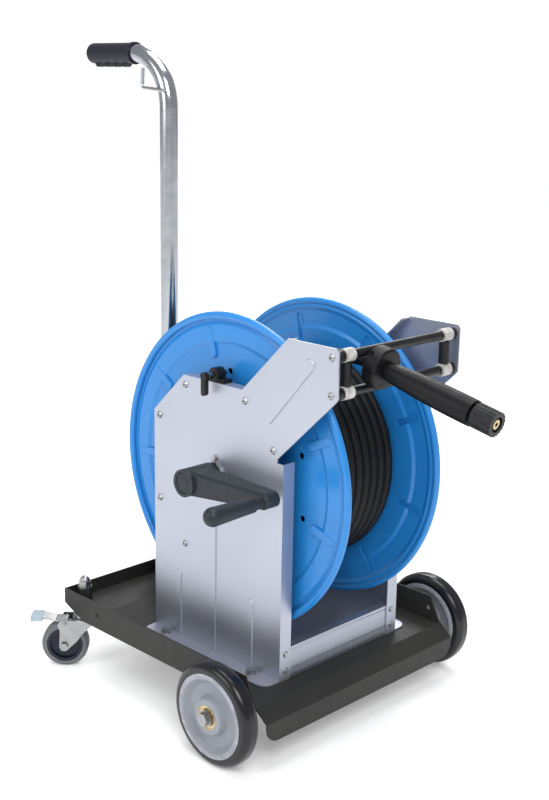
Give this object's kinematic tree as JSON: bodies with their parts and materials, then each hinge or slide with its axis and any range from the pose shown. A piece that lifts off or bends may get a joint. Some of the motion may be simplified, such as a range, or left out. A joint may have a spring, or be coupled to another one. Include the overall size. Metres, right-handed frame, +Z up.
{
  "type": "garden hose reel cart",
  "caption": "Wheeled steel cart with a crank-driven hose drum between two side plates, a roller guide, a push handle and braked casters.",
  "frame": {"origin": "centre of the cart's box, on the floor, without the hose", "axes": "+Z up, -Y towards the front wheels and the hose outlet, crank on the -X side, handle towards +Y"},
  "size_m": [0.574, 0.9337, 1.0455],
  "materials": {
    "tray_paint": "semi-matt dark grey powder coat",
    "galvanised": "bright galvanised sheet",
    "drum_blue": "gloss blue powder coat",
    "chrome": "bright chrome plate",
    "grip_rubber": "soft matt rubber",
    "crank_plastic": "finely textured moulded plastic",
    "black_plastic": "moulded plastic",
    "block_plastic": "pale grey moulded plastic",
    "tyre": "smooth solid rubber",
    "hub_plastic": "grey moulded plastic",
    "zinc": "zinc plated",
    "axle_steel": "turned steel",
    "hose_rubber": "matt extruded rubber",
    "brass": "turned brass",
    "caster_plastic": "navy moulded plastic",
    "caster_tread": "grey rubber tread"
  },
  "bodies": {
    "cart": {"tray": "tray_paint", "caster_bosses": "tray_paint", "caster_stems": "zinc", "cap_nuts": "zinc", "front_axle": "axle_steel", "axle_saddles": "tray_paint", "axle_bolts": "zinc", "handle_post": "chrome", "handle_socket": "tray_paint", "handle_grip": "grip_rubber", "hose_hook": "chrome", "left_side_plate": "galvanised", "right_side_plate": "galvanised", "crossbars": "galvanised", "bottom_pan": "galvanised", "crossbar_screws": "zinc", "plate_screws": "zinc", "foot_bolts_and_nuts": "zinc", "shaft_bearings": "zinc", "bearing_screws": "zinc", "inlet_swivel": "brass", "guide_rods": "zinc", "guide_spacers": "black_plastic", "guide_blocks": "block_plastic", "lock_housing": "black_plastic", "hose_tail": "hose_rubber", "hose_stopper": "hose_rubber", "hose_sleeve": "hose_rubber", "coupling_insert": "brass"},
    "coupling_nut": {"coupling_nut": "black_plastic"},
    "lock": {"lock_pin": "zinc", "lock_lever": "black_plastic"},
    "drum": {"left_disc": "drum_blue", "right_disc": "drum_blue", "drum_core": "drum_blue", "drum_shaft": "axle_steel", "hose_winding": "hose_rubber", "crank_arm": "crank_plastic", "crank_pin": "zinc"},
    "crank_grip": {"crank_grip": "crank_plastic"},
    "left_wheel": {"left_tyre": "tyre", "left_wheel_hub": "hub_plastic", "left_wheel_bearings": "brass"},
    "left_fork": {"left_caster_fork": "zinc", "left_caster_bolt": "zinc"},
    "left_caster": {"left_caster_wheel": "caster_plastic", "left_caster_tread": "caster_tread"},
    "left_brake": {"left_brake_pedal": "zinc"},
    "right_wheel": {"right_tyre": "tyre", "right_wheel_hub": "hub_plastic", "right_wheel_bearings": "brass"},
    "right_fork": {"right_caster_fork": "zinc", "right_caster_bolt": "zinc"},
    "right_caster": {"right_caster_wheel": "caster_plastic", "right_caster_tread": "caster_tread"},
    "right_brake": {"right_brake_pedal": "zinc"},
    "upper_roller": {"upper_roller": "black_plastic"},
    "lower_roller": {"lower_roller": "black_plastic"},
    "left_roller": {"left_roller": "black_plastic"},
    "right_roller": {"right_roller": "black_plastic"}
  },
  "joints": [
    {"name": "drum_spin", "type": "hinge", "parent": "cart", "child": "drum", "pos_m": [0.007, -0.11175, 0.3936], "axis": [1, 0, 0], "continuous": true},
    {"name": "crank_grip_spin", "type": "hinge", "parent": "drum", "child": "crank_grip", "pos_m": [-0.243, -0.26375, 0.399], "axis": [1, 0, 0], "continuous": true},
    {"name": "lock_slide", "type": "slide", "parent": "cart", "child": "lock", "axis": [1, 0, 0], "range_m": [0, 0.009]},
    {"name": "coupling_nut_spin", "type": "hinge", "parent": "cart", "child": "coupling_nut", "pos_m": [-0.04809, -0.55166, 0.55662], "axis": [0.0168, -0.9764, -0.2155], "continuous": true},
    {"name": "left_wheel_spin", "type": "hinge", "parent": "cart", "child": "left_wheel", "pos_m": [-0.244, -0.24175, 0.08], "axis": [1, 0, 0], "continuous": true},
    {"name": "left_caster_swivel", "type": "hinge", "parent": "cart", "child": "left_fork", "pos_m": [-0.1875, 0.15275, 0.086], "axis": [0, 0, 1], "continuous": true},
    {"name": "left_caster_roll", "type": "hinge", "parent": "left_fork", "child": "left_caster", "pos_m": [-0.21225, 0.1775, 0.04], "axis": [0.7071, 0.7071, 0], "continuous": true},
    {"name": "left_brake_press", "type": "hinge", "parent": "left_fork", "child": "left_brake", "pos_m": [-0.21154, 0.17679, 0.083], "axis": [0.7071, 0.7071, 0], "range_deg": [-8, 0]},
    {"name": "right_wheel_spin", "type": "hinge", "parent": "cart", "child": "right_wheel", "pos_m": [0.258, -0.24175, 0.08], "axis": [1, 0, 0], "continuous": true},
    {"name": "right_caster_swivel", "type": "hinge", "parent": "cart", "child": "right_fork", "pos_m": [0.2015, 0.15275, 0.086], "axis": [0, 0, 1], "continuous": true},
    {"name": "right_caster_roll", "type": "hinge", "parent": "right_fork", "child": "right_caster", "pos_m": [0.17675, 0.1775, 0.04], "axis": [0.7071, 0.7071, 0], "continuous": true},
    {"name": "right_brake_press", "type": "hinge", "parent": "right_fork", "child": "right_brake", "pos_m": [0.17746, 0.17679, 0.083], "axis": [0.7071, 0.7071, 0], "range_deg": [-8, 0]},
    {"name": "upper_roller_spin", "type": "hinge", "parent": "cart", "child": "upper_roller", "pos_m": [0.011, -0.34875, 0.618], "axis": [1, 0, 0], "continuous": true},
    {"name": "lower_roller_spin", "type": "hinge", "parent": "cart", "child": "lower_roller", "pos_m": [0.011, -0.34875, 0.564], "axis": [1, 0, 0], "continuous": true},
    {"name": "left_roller_spin", "type": "hinge", "parent": "cart", "child": "left_roller", "pos_m": [-0.1, -0.34875, 0.591], "axis": [0, 0, 1], "continuous": true},
    {"name": "right_roller_spin", "type": "hinge", "parent": "cart", "child": "right_roller", "pos_m": [0.122, -0.34875, 0.591], "axis": [0, 0, 1], "continuous": true}
  ]
}
